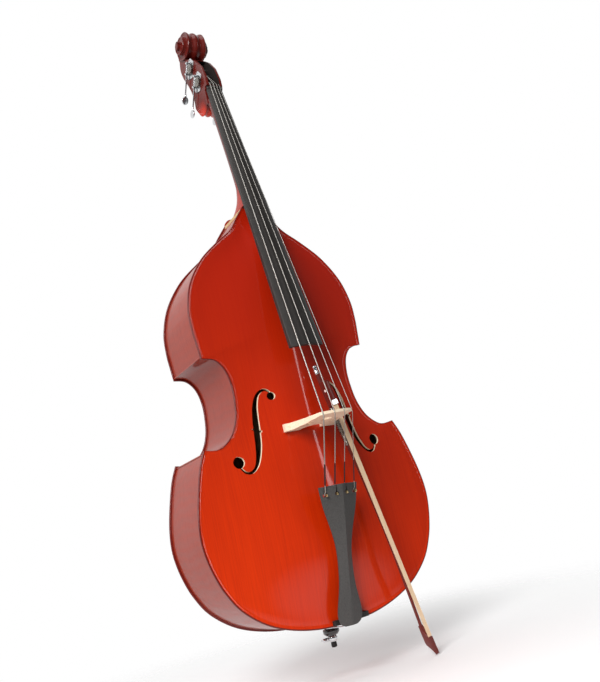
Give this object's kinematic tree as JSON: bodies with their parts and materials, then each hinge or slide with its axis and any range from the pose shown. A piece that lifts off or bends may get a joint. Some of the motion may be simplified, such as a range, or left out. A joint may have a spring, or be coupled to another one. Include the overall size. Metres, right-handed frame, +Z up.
{
  "type": "double bass",
  "caption": "Double bass with arched front and back, machine-head scroll, ridged tailpiece and retracted endpin, with its bow tucked in under the strings.",
  "frame": {"origin": "middle of the flat underside of the endpin tip, on the endpin's axis", "axes": "+Z up the instrument towards the scroll, -Y out of the front plate, +X to the right seen from the front"},
  "size_m": [0.6686, 0.3957, 1.9019],
  "materials": {
    "varnished_front": "gloss orange-red varnish over spruce",
    "varnished_maple": "gloss dark red varnish over maple",
    "raw_spruce": "bare planed spruce",
    "bare_maple": "bare maple",
    "ebony": "satin black wood",
    "satin_black": "satin dark grey",
    "nickel": "bright plated steel",
    "gear_steel": "dull plated steel",
    "string_steel": "flat wound steel",
    "gloss_black": "polished black",
    "rubber": "black rubber",
    "bow_wood": "dark polished wood",
    "horsehair": "pale horsehair ribbon",
    "pearl": "polished white shell"
  },
  "bodies": {
    "instrument": {"top_plate": "varnished_front", "back_plate": "varnished_maple", "rib_lower_left": "varnished_maple", "rib_lower_right": "varnished_maple", "rib_waist_left": "varnished_maple", "rib_waist_right": "varnished_maple", "rib_upper_left": "varnished_maple", "rib_upper_right": "varnished_maple", "top_lining": "raw_spruce", "back_lining": "raw_spruce", "lower_corner_block_left": "raw_spruce", "lower_corner_block_right": "raw_spruce", "upper_corner_block_left": "raw_spruce", "upper_corner_block_right": "raw_spruce", "bottom_block": "raw_spruce", "top_block": "raw_spruce", "bass_bar": "raw_spruce", "sound_post": "raw_spruce", "neck": "varnished_maple", "fingerboard": "ebony", "nut": "ebony", "saddle": "ebony", "bridge": "bare_maple", "tailpiece": "satin_black", "tail_wire": "string_steel", "string_e": "string_steel", "string_a": "string_steel", "string_d": "string_steel", "string_g": "string_steel", "tuner_e_plate": "nickel", "tuner_a_plate": "nickel", "tuner_d_plate": "nickel", "tuner_g_plate": "nickel", "endpin_plug": "gloss_black", "endpin_ferrule": "nickel"},
    "endpin": {"endpin_rod": "nickel", "endpin_tip": "rubber"},
    "endpin_clamp": {"endpin_screw": "nickel"},
    "post_e": {"tuner_e_gear": "gear_steel"},
    "post_a": {"tuner_a_gear": "gear_steel"},
    "post_d": {"tuner_d_gear": "gear_steel"},
    "post_g": {"tuner_g_gear": "gear_steel"},
    "worm_e": {"tuner_e_key": "nickel"},
    "worm_a": {"tuner_a_key": "nickel"},
    "worm_d": {"tuner_d_key": "nickel"},
    "worm_g": {"tuner_g_key": "nickel"},
    "bow": {"bow_stick": "bow_wood", "bow_grip": "string_steel", "bow_head_plate": "bow_wood", "bow_hair": "horsehair"},
    "bow_heel": {"bow_frog": "bow_wood", "bow_ferrule": "nickel", "bow_eye_left": "pearl", "bow_eye_right": "pearl"},
    "bow_end": {"bow_button": "nickel"}
  },
  "joints": [
    {"name": "endpin_slide", "type": "slide", "parent": "instrument", "child": "endpin", "axis": [0, 0, -1], "range_m": [0, 0.28]},
    {"name": "endpin_screw_turn", "type": "hinge", "parent": "instrument", "child": "endpin_clamp", "pos_m": [0, 0, 0.022], "axis": [-1, 0, 0], "range_deg": [0, 720]},
    {"name": "key_e_turn", "type": "hinge", "parent": "instrument", "child": "worm_e", "pos_m": [-0.03335, -0.00535, 1.6358], "axis": [0, -0.6018, 0.7986], "continuous": true},
    {"name": "key_a_turn", "type": "hinge", "parent": "instrument", "child": "worm_a", "pos_m": [-0.03335, 0.02265, 1.7018], "axis": [0, -0.6018, 0.7986], "continuous": true},
    {"name": "key_d_turn", "type": "hinge", "parent": "instrument", "child": "worm_d", "pos_m": [0.03335, 0.01065, 1.6708], "axis": [0, -0.6018, 0.7986], "continuous": true},
    {"name": "key_g_turn", "type": "hinge", "parent": "instrument", "child": "worm_g", "pos_m": [0.03335, -0.01135, 1.6138], "axis": [0, -0.6018, 0.7986], "continuous": true},
    {"name": "post_e_turn", "type": "hinge", "parent": "instrument", "child": "post_e", "pos_m": [0, -0.021, 1.624], "axis": [1, 0, 0], "continuous": true},
    {"name": "post_a_turn", "type": "hinge", "parent": "instrument", "child": "post_a", "pos_m": [0, 0.007, 1.69], "axis": [1, 0, 0], "continuous": true},
    {"name": "post_d_turn", "type": "hinge", "parent": "instrument", "child": "post_d", "pos_m": [0, -0.005, 1.659], "axis": [1, 0, 0], "continuous": true},
    {"name": "post_g_turn", "type": "hinge", "parent": "instrument", "child": "post_g", "pos_m": [0, -0.027, 1.602], "axis": [1, 0, 0], "continuous": true},
    {"name": "bow_slide", "type": "slide", "parent": "instrument", "child": "bow", "axis": [-0.1949, -0.0285, 0.9804], "range_m": [0, 0.12]},
    {"name": "bow_screw_turn", "type": "hinge", "parent": "bow", "child": "bow_end", "pos_m": [0.043, -0.15, 0.674], "axis": [0.1949, 0.0285, -0.9804], "range_deg": [0, 1800]},
    {"name": "bow_frog_slide", "type": "slide", "parent": "bow", "child": "bow_heel", "axis": [-0.1949, -0.0285, 0.9804], "range_m": [0, 0.004]}
  ],
  "couplings": [
    {"joint": "post_e_turn", "follows": "key_e_turn", "ratio": -0.035714},
    {"joint": "post_a_turn", "follows": "key_a_turn", "ratio": -0.035714},
    {"joint": "post_d_turn", "follows": "key_d_turn", "ratio": 0.035714},
    {"joint": "post_g_turn", "follows": "key_g_turn", "ratio": 0.035714},
    {"joint": "bow_frog_slide", "follows": "bow_screw_turn", "m_per_rad": 0.000127}
  ]
}
